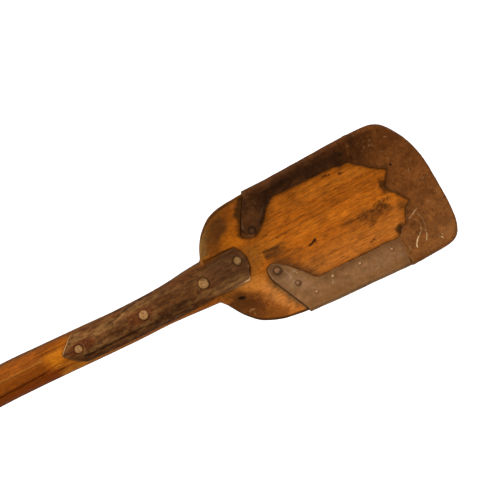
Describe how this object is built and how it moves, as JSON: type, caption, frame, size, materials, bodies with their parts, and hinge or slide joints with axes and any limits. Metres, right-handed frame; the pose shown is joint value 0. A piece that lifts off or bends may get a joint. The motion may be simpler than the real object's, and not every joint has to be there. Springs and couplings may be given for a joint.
{
  "type": "wooden scoop shovel",
  "caption": "Long-handled wooden scoop shovel with a dished blade, folded sheet-iron edges and toe, and a riveted neck strap.",
  "frame": {"origin": "on the shaft's axis, where the straight wall of the butt begins, 5 mm in from its rounded end", "axes": "+X along the shaft towards the blade's toe, +Y to the left, +Z out of the blade's hollow face"},
  "size_m": [1.0998, 0.1466, 0.0466],
  "materials": {
    "ash_wood": "old oiled wood, orange-brown, stained dark near the iron",
    "dark_iron": "blackened brown wrought sheet iron, semi-matt",
    "grey_iron": "worn grey-brown sheet iron, satin",
    "toe_iron": "red-brown rusted sheet iron, satin, scratched",
    "strap_iron": "dark brown wrought iron with worn olive streaks",
    "rivet_iron": "rubbed pale tan rivet iron",
    "nail_iron": "rubbed brown nail heads"
  },
  "bodies": {
    "root": {"shaft_and_blade": "ash_wood", "left_edge_band": "dark_iron", "right_edge_band": "grey_iron", "toe_plate": "toe_iron", "neck_strap_front": "strap_iron", "neck_strap_back": "strap_iron", "neck_rivet_1": "rivet_iron", "neck_rivet_2": "rivet_iron", "neck_rivet_3": "rivet_iron", "neck_rivet_4": "rivet_iron", "left_tab_rivet_large": "dark_iron", "left_tab_rivet_small": "dark_iron", "right_tab_rivet_large": "grey_iron", "right_tab_rivet_small": "grey_iron", "left_tab_roves": "dark_iron", "right_tab_roves": "grey_iron", "left_band_nails": "nail_iron", "right_band_nails": "nail_iron", "toe_plate_nails": "nail_iron"}
  },
  "joints": []
}
